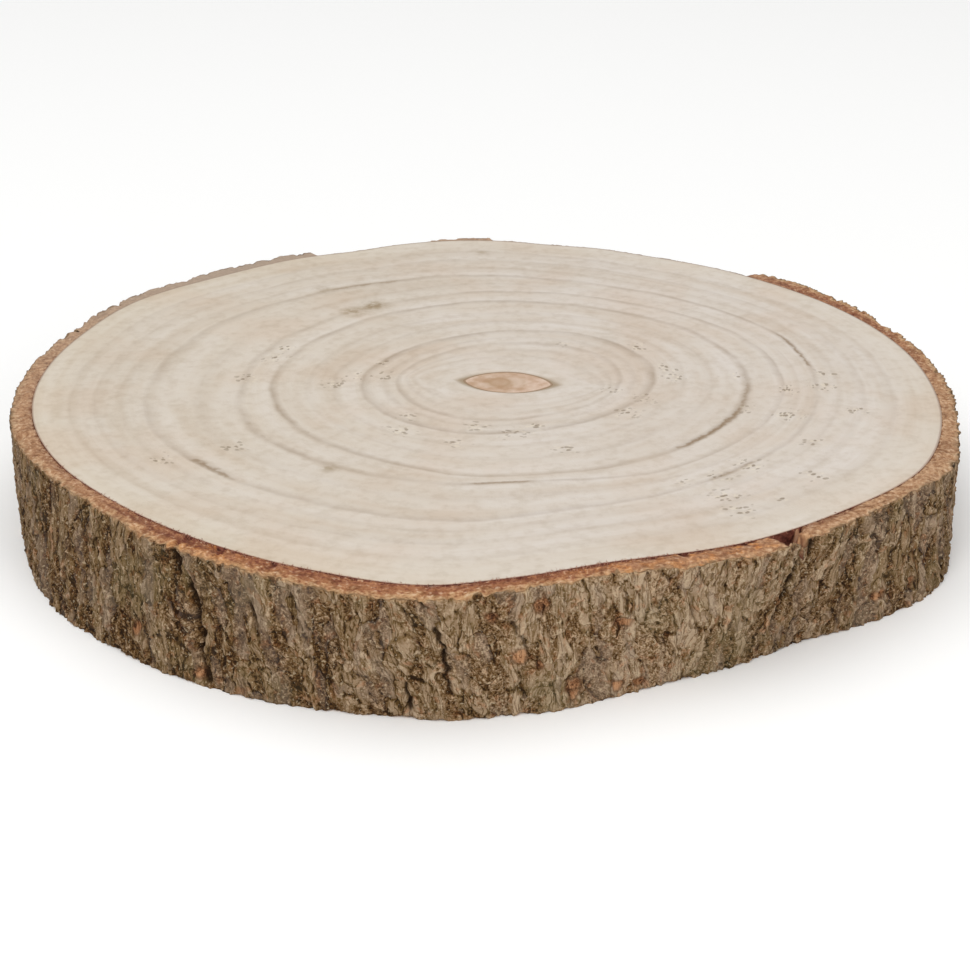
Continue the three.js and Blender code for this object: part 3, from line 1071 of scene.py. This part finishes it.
    # The pith: an olive-brown pointed eye, and in it a pinkish oval with a brown knot and curved lines
    wood = coat(tree, wood, "#8b7350", growth, EYE_GROWTH + CORNER_OUT, EYE_GROWTH - CORNER_IN, most=0.75)
    pith_grain = add(tree, "TexNoise", {"Vector": place, "Scale": 1 / PITH_GRAIN, "Detail": 5.0})
    pith = add(tree, "ValToRGB", (pith_grain,), ((0.36, "#bfa088"), (0.5, "#cdb29d"), (0.64, "#d8c2b0")))
    from_knot = add(tree, "VectorMath", (place, (*PITH_KNOT, THICKNESS)), operation="DISTANCE")
    knot_way = add(tree, "Math", (pith_grain, KNOT_WANDER, from_knot), operation="MULTIPLY_ADD")
    knot_share = add(tree, "Math", (knot_way, PITH_HALF_WIDTH), operation="DIVIDE")
    knot = add(tree, "ValToRGB", (knot_share,), (
        (0.0, 0.6), (0.28, 0.6), (0.38, 0.8), (0.5, 0.42), (0.62, 0.28), (0.7, 0.42), (0.8, 0.1),
        (1.0, 0.0),
    ))
    pith = add(tree, "Mix", (knot, pith, "#a5835f"), **COLOUR)
    wood = coat(tree, wood, pith, eye, clear=1.0, full=0.92)
    outline = add(tree, "Math", (eye, OUTLINE_AT, OUTLINE_HALF), operation="COMPARE")
    wood = coat(tree, wood, "#86694a", outline, clear=0.0, full=1.0, most=0.65)

    # Torn pits: loose clusters of dark dots about a millimetre across, with pale crumbs of wood beside
    # them.
    # The dots are partly the pits' own brown and partly painted shade; the crumbs carry a painted
    # highlight.
    pit_plan = add(tree, "VectorMath", (flat, 1 / PIT_LENGTH), operation="SCALE")
    pit_way = pit_plan
    for pattern, reach in ((growth_up, (0, 0, 1 / PIT_WIDTH)), (mottle.outputs["Color"], PIT_SHAKE)):
        pit_way = add(tree, "VectorMath", (pattern, reach, pit_way), operation="MULTIPLY_ADD")
    # A painted highlight on the pale crumbs, always on the same side of each pit
    for shift, most, colour in ((PIT_HIGHLIGHT_LIP, 0.3, "#e8dcc4"), ((0, 0, 0), 0.7, "#77664e")):
        pit_place = add(tree, "VectorMath", (pit_way, shift), operation="ADD")
        dots = add(tree, "TexVoronoi", {"Vector": pit_place, "Scale": 1.0})
        chance = add(tree, "Math", (pitting, PIT_CROWD, dots.outputs["Color"]), operation="MULTIPLY_ADD")
        size = add(tree, "MapRange", {"Value": chance, "From Min": 0.7, "From Max": 1.08, "To Max": 0.6})
        inside = add(tree, "Math", (size, dots), operation="SUBTRACT")
        dot = add(tree, "MapRange", {"Value": inside, "From Max": 0.22, "To Max": most}, **SOFT)
        pit_tone = add(tree, "Math", (dot, pitting), operation="MULTIPLY")
        wood = add(tree, "Mix", (pit_tone, wood, colour), **COLOUR)

    # Torn fringe: red-brown inner bark dragged over the wood's edge by the saw, in fine hairs
    hairs = add(tree, "TexNoise", {"Vector": ray_way, "Scale": 1.0, "Detail": 3.0})
    reach = add(tree, "Math", (fringe, hairs), operation="MULTIPLY")
    from_edge = add(tree, "Math", (EDGE_GROWTH, growth), operation="SUBTRACT")
    hair_end = add(tree, "Math", (reach, HAIR_REACH, HAIR_START), operation="MULTIPLY_ADD")
    hair = add(tree, "Math", (hair_end, from_edge), operation="SUBTRACT")
    wood = coat(tree, wood, "#7d4634", hair, clear=-0.2, full=0.3, most=0.8)
    wood = coat(tree, wood, "#916349", from_edge, clear=0.6, full=0.1, most=0.5)

    # Saw fuzz: short raised fibres along the rays, a fine nap, and sunken pits
    fuzz = add(tree, "TexNoise", {"Vector": ray_way, "Scale": 1 / FUZZ_RAYS, "Detail": 3.0})
    nap = add(tree, "TexNoise", {"Vector": place, "Scale": 1 / NAP_SIZE, "Detail": 3.0})
    raised = add(tree, "Math", (fuzz, FUZZ_SHARE, nap), operation="MULTIPLY_ADD")
    relief = add(tree, "Math", (pit_tone, PIT_SINK, raised), operation="MULTIPLY_ADD")
    bump = add(tree, "Bump", {"Height": relief, "Strength": 0.3, "Distance": NAP_RISE * MM})
    fill(tree, shader, {"Base Color": wood, "Normal": bump, "Roughness": 0.82, "IOR": DRY_WOOD_IOR})
    return finish


def sawn_inner_bark():
    """The bark's cut rim: corky fibres sawn across, dry and rough, red-brown by the wood, tan outside."""
    finish, tree, shader = new_finish("sawn_inner_bark")
    place, growth, layer, redness, wound, orange, bare = read_mesh(tree, (*CUT_MARKS, "bare"))
    flow = add(tree, "Attribute", attribute_name="flow").outputs["Vector"]

    # Streaks that run along the rim, layer on layer
    flat = add(tree, "VectorMath", (place, (1, 1, 0)), operation="MULTIPLY")
    outward = add(tree, "VectorMath", (flat,), operation="NORMALIZE")
    along = add(tree, "VectorMath", (outward, MEAN_RADIUS / CUT_STREAK_LENGTH), operation="SCALE")
    layers_out = add(tree, "Math", (growth, CUT_STREAK_WIDTH), operation="DIVIDE")
    across = add(tree, "CombineXYZ", {"Z": layers_out})
    streak_way = add(tree, "VectorMath", (along, across), operation="ADD")
    streaks = add(tree, "TexNoise", {"Vector": streak_way, "Scale": 1.0, "Detail": 3.0})

    # Red next to the wood, tan outside, with a wandering border and orange splinters
    wander = add(tree, "TexNoise", {"Vector": flow, "Scale": 1 / CUT_LAYER_SWAY, "Detail": 4.0})
    wandered = add(tree, "Math", (wander, LAYER_WANDER, layer), operation="MULTIPLY_ADD")
    streaked = add(tree, "Math", (streaks, LAYER_STREAK, wandered), operation="MULTIPLY_ADD")
    depth = add(tree, "Math", (streaked, (LAYER_WANDER + LAYER_STREAK) / 2), operation="SUBTRACT")
    red = add(tree, "ValToRGB", (depth,), (
        (0.0, "#955f44"), (0.1, "#b07a58"), (0.35, "#b27c59"), (0.6, "#b27f5b"), (0.78, "#cda57d"),
        (1.0, "#c9a880"),
    ))
    tan = add(tree, "ValToRGB", (depth,), (
        (0.0, "#b58e6c"), (0.06, "#cdac8b"), (0.3, "#c8a482"), (0.55, "#c39e7c"), (0.8, "#c9a887"),
        (1.0, "#bfa283"),
    ))
    rim = add(tree, "Mix", (redness, tan, red), **COLOUR)
    rim = coat(tree, rim, "#d08a48", wander, clear=0.44, full=0.6, most=0.75, where=orange)

    # Blotches, crumbs with dark gaps that are partly painted shade, dark red grains, pale grains on the
    # crumbs' tops that are partly a painted highlight, and grey weathered stretches
    blotches = add(tree, "TexNoise", {"Vector": place, "Scale": 1 / CUT_BLOTCH, "Detail": 3.0})
    crumbs = add(tree, "TexNoise", {
        "Vector": flow, "Scale": 1 / CUT_CRUMB, "Detail": 4.0, "Roughness": 0.65,
    })
    for pattern, share, stops in (
        (blotches, 0.6, ((0.32, "#a8917f"), (0.5, "#eae2da"), (0.66, "#ffffff"))),
        (crumbs, 0.9, ((0.3, "#a08877"), (0.46, "#e2d6cb"), (0.58, "#ffffff"))),
    ):
        shade = add(tree, "ValToRGB", (pattern,), stops)
        rim = add(tree, "Mix", (share, rim, shade), blend_type="MULTIPLY", **COLOUR)
    grains = add(tree, "TexNoise", {"Vector": flow, "Scale": 1 / CUT_GRAIN, "Detail": 2.0})
    inner = add(tree, "Math", (depth, OUTER_GRAIN, grains), operation="MULTIPLY_ADD")
    rim = coat(tree, rim, "#743c2c", inner, clear=0.46, full=0.58, most=0.7, where=redness)
    # Pale grains on the crumbs' tops: partly their own colour, partly a painted highlight
    rim = coat(tree, rim, "#d6b89c", crumbs, clear=0.56, full=0.68, most=0.6)
    rim = add(tree, "Mix", (bare, rim, "#ab9a8a"), **COLOUR)

    # Bits of the dark outer bark break the rim's outer edge, and torn dark holes its inner edge
    outermost = add(tree, "Math", (layer, blotches), operation="ADD")
    rim = coat(tree, rim, "#735a3e", outermost, clear=1.42, full=1.56, most=0.75)
    torn = add(tree, "MapRange", {
        "Value": crumbs, "From Min": 0.36, "From Max": 0.6, "To Min": 1.0, "To Max": 0.7,
    })
    wound_tone = add(tree, "Math", (wound, torn), operation="MULTIPLY")
    rim = add(tree, "Mix", (wound_tone, rim, "#5f2d22"), **COLOUR)
    bump = add(tree, "Bump", {"Height": crumbs, "Strength": 0.8, "Distance": CUT_CRUMB_RISE * MM})
    fill(tree, shader, {
        "Base Color": rim, "Normal": bump, "Roughness": 0.9, "IOR": DRY_WOOD_IOR,
        "Specular IOR Level": 0.3,
    })
    return finish


def grown_outer_bark():
    """Outer bark as it grew: corky, dry and rough, grey wrinkled plates with dark crumbs between them."""
    finish, tree, shader = new_finish("grown_outer_bark")
    place, plate, painted_shade_hollow, flaking, paleness, crack_painted_shade, scar, bare, fresh = read_mesh(tree, GROWN_MARKS)
    flow = add(tree, "Attribute", attribute_name="flow").outputs["Vector"]

    # The fibres' flow, shaken so that no line is straight, and drawn out for wrinkles, splits and streaks
    shake = add(tree, "TexNoise", {"Vector": flow, "Scale": 1 / FIBRE_SHAKE, "Detail": 3.0})
    shaken = add(tree, "VectorMath", (shake.outputs["Color"], SHAKE_REACH, flow), operation="MULTIPLY_ADD")
    wrinkle_way, split_way, streak_way = [
        add(tree, "VectorMath", (shaken, drawn), operation="MULTIPLY")
        for drawn in (WRINKLE_DRAWN, SPLIT_DRAWN, STREAK_DRAWN)
    ]

    # Wrinkles: thin dark creases that run with the fibres
    wrinkle_noise = add(tree, "TexNoise", {"Vector": wrinkle_way, "Scale": 1 / WRINKLE_GAP, "Detail": 1.0})
    wrinkle_side = add(tree, "Math", (wrinkle_noise, HALF_WAY), operation="SUBTRACT")
    wrinkle_rise = add(tree, "Math", (wrinkle_side,), operation="ABSOLUTE")
    wrinkles = add(tree, "MapRange", {
        "Value": wrinkle_rise, "From Max": 0.07, "To Min": -0.6, "To Max": 0.4,
    })

    # Crumbs with pits between them, and grit
    crumb_noise = add(tree, "TexNoise", {
        "Vector": shaken, "Scale": 1 / CRUMB_SIZE, "Detail": 2.0, "Distortion": 0.5,
    })
    crumbs = add(tree, "MapRange", {"Value": crumb_noise, "From Min": 0.34, "From Max": 0.66, **EITHER_WAY})
    grit_noise = add(tree, "TexNoise", {
        "Vector": place, "Scale": 1 / GRIT_SIZE, "Detail": 2.0, "Roughness": 0.6,
    })
    grit = add(tree, "MapRange", {"Value": grit_noise, "From Min": 0.3, "From Max": 0.7, **EITHER_WAY})

    # Which of the two shows: wrinkles on the plates, crumbs off them
    blotch = add(tree, "TexNoise", {"Vector": flow, "Scale": 1 / BLOTCH_SIZE, "Detail": 4.0})
    covered = add(tree, "Math", (plate, blotch), operation="ADD")
    wrinkled = add(tree, "MapRange", {"Value": covered, "From Min": 0.65, "From Max": 1.25}, **SOFT)

    # Splits: thin jagged lines between small flakes, where the bark is splitting
    flake_cells = {"Vector": split_way, "Scale": 1 / SPLIT_FLAKE}
    flake_tone = add(tree, "TexVoronoi", flake_cells).outputs["Color"]
    flake_edge = add(tree, "TexVoronoi", flake_cells, feature="DISTANCE_TO_EDGE")
    split_line = add(tree, "MapRange", {"Value": flake_edge, "From Min": 0.1, "From Max": 0.02}, **SOFT)
    splitting = add(tree, "MapRange", {
        "Value": blotch, "From Min": 0.44, "From Max": 0.6, "To Min": 0.15,
    }, **SOFT)
    split = add(tree, "Math", (split_line, splitting), operation="MULTIPLY")

    # Flakes: a painted highlight on the lip, and a painted shadow line under it
    flake_way = add(tree, "Math", (grit, FLAKE_GRIT, flaking), operation="MULTIPLY_ADD")
    flake_step = add(tree, "Math", (flake_way,), operation="FRACT")
    flake_painted_light = add(tree, "ValToRGB", (flake_step,), ((0.0, 0.0), (0.1, 0.5), (0.75, 0.5), (0.97, 0.85)))

    # Tone from dark to light, with painted shade in the hollows and painted light at the flakes
    wrinkle_tone = add(tree, "Math", (wrinkles, *WRINKLE_TONE), operation="MULTIPLY_ADD")
    # Crumbs are lighter on their tops and darker in the pits: partly their own mottle, partly painted light
    # and shade
    crumb_mottle_and_light = add(tree, "Math", (crumbs, *CRUMB_MOTTLE_AND_LIGHT), operation="MULTIPLY_ADD")
    tone = add(tree, "Mix", (wrinkled, crumb_mottle_and_light, wrinkle_tone))
    gritty = add(tree, "MapRange", {"Value": wrinkled, "To Min": 0.52, "To Max": 0.16})
    for mark, share in (
        (grit, gritty), (painted_shade_hollow, HOLLOW_PAINTED_SHADE), (paleness, 1.0), (split, SPLIT_SHADE),
        (flake_tone, FLAKE_SHADE), (flake_painted_light, LIP_PAINTED_LIGHT),
    ):
        tone = add(tree, "Math", (mark, share, tone), operation="MULTIPLY_ADD")
    tone = add(tree, "Math", (tone, TONE_DROP), operation="SUBTRACT")

    # Brown crumbs and grey plates
    brown = add(tree, "ValToRGB", (tone,), (
        (0.1, "#2a1804"), (0.3, "#4f3314"), (0.5, "#745836"), (0.7, "#927658"), (0.95, "#bfa384"),
    ))
    ashen = add(tree, "ValToRGB", (tone,), (
        (0.1, "#2d1c08"), (0.3, "#553d1c"), (0.5, "#7b6241"), (0.7, "#957c60"), (0.95, "#b8a084"),
    ))
    bark = add(tree, "Mix", (wrinkled, brown, ashen), **COLOUR)

    # Tints: grey-green algae in patches, violet-grey weathered streaks, rusty specks and pale flecks
    patches = add(tree, "TexNoise", {"Vector": place, "Scale": 1 / ALGAE_PATCH, "Detail": 3.0})
    streaks = add(tree, "TexNoise", {"Vector": streak_way, "Scale": 1 / WEATHERED_STREAK, "Detail": 3.0})
    weathered = add(tree, "Math", (flake_tone, FLAKE_WEATHER, streaks), operation="MULTIPLY_ADD")
    specks = add(tree, "TexNoise", {"Vector": shaken, "Scale": 1 / RUST_SPECK, "Detail": 3.0})
    flecks = add(tree, "TexNoise", {"Vector": place, "Scale": 1 / PALE_FLECK, "Detail": 2.0})
    bark = coat(tree, bark, "#76714f", patches, clear=0.5, full=0.7, most=0.2)
    bark = coat(tree, bark, "#86756a", weathered, clear=0.74, full=0.95, most=0.3)
    bark = coat(tree, bark, "#ffc08e", specks, clear=0.55, full=0.68, most=0.4, blend_type="MULTIPLY")
    bark = coat(tree, bark, "#c6b192", flecks, clear=0.6, full=0.7, most=0.6)

    # Scars of rust-brown inner bark with a dark edge, and freshly broken edges along both saw cuts
    rust = add(tree, "ValToRGB", (tone,), ((0.2, "#4a2a17"), (0.5, "#93623f"), (0.8, "#bb8a62")))
    scar_tone = add(tree, "Math", (scar, SCAR_SHARE), operation="MULTIPLY")
    bark = add(tree, "Mix", (scar_tone, bark, rust), **COLOUR)
    scar_edge = add(tree, "Math", (scar, HALF_WAY), operation="PINGPONG")
    bark = add(tree, "Mix", (scar_edge, bark, "#2c1c10"), **COLOUR)
    broken = add(tree, "ValToRGB", (tone,), ((0.2, "#7c5738"), (0.5, "#b08a63"), (0.8, "#cfae86")))
    bark = coat(tree, bark, broken, specks, clear=0.4, full=0.56, most=0.85, where=fresh)

    # Stripped stretches: a torn rusty edge, then pale straight-grained wood with remains of the inner bark
    bark = coat(tree, bark, rust, bare, clear=0.04, full=0.3, most=0.8)
    fibre_way = add(tree, "VectorMath", (place, STRIPPED_DRAWN), operation="MULTIPLY")
    fibres = add(tree, "TexNoise", {"Vector": fibre_way, "Scale": 1 / STRIPPED_FIBRE, "Detail": 4.0})
    remains = add(tree, "Math", (specks, REMAINS_SHARE, fibres), operation="MULTIPLY_ADD")
    stripped = add(tree, "ValToRGB", (remains,), (
        (0.54, "#9a7656"), (0.64, "#b99a79"), (0.76, "#cdb593"), (0.92, "#d9c7a9"),
    ))
    stripped_here = add(tree, "MapRange", {"Value": bare, "From Min": 0.82, "From Max": 0.96}, **SOFT)
    bark = add(tree, "Mix", (stripped_here, bark, stripped), **COLOUR)
    # Painted shade in the depths of the cracks
    bark = coat(tree, bark, "#2a1807", crack_painted_shade, clear=0.2, full=0.75, most=0.88)

    # Relief finer than the mesh
    wrinkle_height = add(tree, "Math", (wrinkles, WRINKLE_RISE), operation="MULTIPLY")
    height = add(tree, "Mix", (wrinkled, crumbs, wrinkle_height))
    for mark, share in ((grit, GRIT_RISE), (split, SPLIT_SINK)):
        height = add(tree, "Math", (mark, share, height), operation="MULTIPLY_ADD")
    fibre_height = add(tree, "Math", (fibres, STRIPPED_RISE), operation="MULTIPLY")
    height = add(tree, "Mix", (stripped_here, height, fibre_height))
    bump = add(tree, "Bump", {"Height": height, "Strength": 1.0, "Distance": BARK_RISE * MM})
    fill(tree, shader, {
        "Base Color": bark, "Normal": bump, "Roughness": 0.92, "IOR": DRY_WOOD_IOR,
        "Specular IOR Level": 0.25,
    })
    return finish


def torn_red_fibre():
    """Fibres torn from the inner bark: dry, matt and red-brown, each of its own shade, a little stained."""
    finish, tree, shader = new_finish("torn_red_fibre")
    shade = add(tree, "Attribute", attribute_name="shade").outputs["Fac"]
    place = add(tree, "TexCoord").outputs["Object"]
    stain = add(tree, "TexNoise", {"Vector": place, "Scale": 1 / (FIBRE_STAIN * MM), "Detail": 3.0})
    tone = add(tree, "Math", (shade, OWN_SHADE, stain), operation="MULTIPLY_ADD")
    red = add(tree, "ValToRGB", (tone,), (
        (0.36, "#5a2a20"), (0.56, "#8a5040"), (0.8, "#a06a54"), (1.0, "#b98a72"),
    ))
    fill(tree, shader, {"Base Color": red, "Roughness": 0.9, "IOR": DRY_WOOD_IOR})
    return finish


def white_paper():
    """Studio paper, pressed smooth and matt: an even near white with no gloss."""
    finish, tree, shader = new_finish("white_paper")
    fill(tree, shader, {"Base Color": "#fdfdfc", "Roughness": 0.95})
    return finish


# The slice

def keep_piece(name, mesh):
    """Hangs a piece on the slice's one body, in place of its CAD part."""
    piece = bpy.data.objects.new(name, mesh)
    bpy.context.collection.objects.link(piece)
    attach(piece, "root")
    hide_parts("wood_slice")


def make_slice():
    """The wood, the bark round it, and the fibres torn from the bark."""
    fibre = torn_red_fibre()
    wood_finishes = [sawn_pale_end_grain(), fibre]
    keep_piece("sawn_wood", skin("wood_skin", wood_rings(), WOOD_MARKS, wood_finishes, looped=False))
    bark_marks = CUT_MARKS + GROWN_MARKS
    bark_finishes = [sawn_inner_bark(), grown_outer_bark()]
    keep_piece("grown_bark", skin("bark_skin", bark_rings(), bark_marks, bark_finishes, looped=True))
    keep_piece("torn_fringe", torn_fibres("torn_fibres", fibre))


# Floor, light and camera

def make_floor():
    """A plain pale floor under the slice."""
    mesh = bpy.data.meshes.new("floor")
    corners = [(x * FLOOR_HALF, y * FLOOR_HALF, 0) for x, y in ((-1, -1), (1, -1), (1, 1), (-1, 1))]
    mesh.from_pydata(corners, [], [(0, 1, 2, 3)])
    mesh.materials.append(white_paper())
    floor = bpy.data.objects.new("floor", mesh)
    bpy.context.collection.objects.link(floor)


def make_light(name, place, target, size, power):
    """A round soft light that faces its target."""
    lamp = bpy.data.lights.new(name, "AREA")
    lamp.shape = "DISK"
    lamp.size = size
    lamp.energy = power
    light = bpy.data.objects.new(name, lamp)
    light.location = place
    light.rotation_euler = (Vector(target) - Vector(place)).to_track_quat("-Z", "Y").to_euler()
    bpy.context.collection.objects.link(light)


def make_camera():
    """The camera, level from side to side and pitched down."""
    lens = bpy.data.cameras.new("camera")
    lens.lens = LENS
    lens.sensor_width = SENSOR
    lens.sensor_fit = "HORIZONTAL"
    lens.clip_start = NEAREST
    camera = bpy.data.objects.new("camera", lens)
    camera.location = Vector(CAMERA_PLACE) * MM
    camera.rotation_euler = (math.radians(90 - CAMERA_PITCH), 0, 0)
    bpy.context.collection.objects.link(camera)
    bpy.context.scene.camera = camera


def make_studio():
    """Floor, lights, an even white sky, and the camera."""
    make_floor()
    for light in LIGHTS:
        make_light(*light)
    world = bpy.data.worlds.new("studio")
    world.use_nodes = True
    fill(world.node_tree, world.node_tree.nodes["Background"], {"Color": "#ffffff", "Strength": SKY})
    bpy.context.scene.world = world
    bpy.context.scene.view_settings.view_transform = "Standard"
    make_camera()


make_slice()
make_studio()
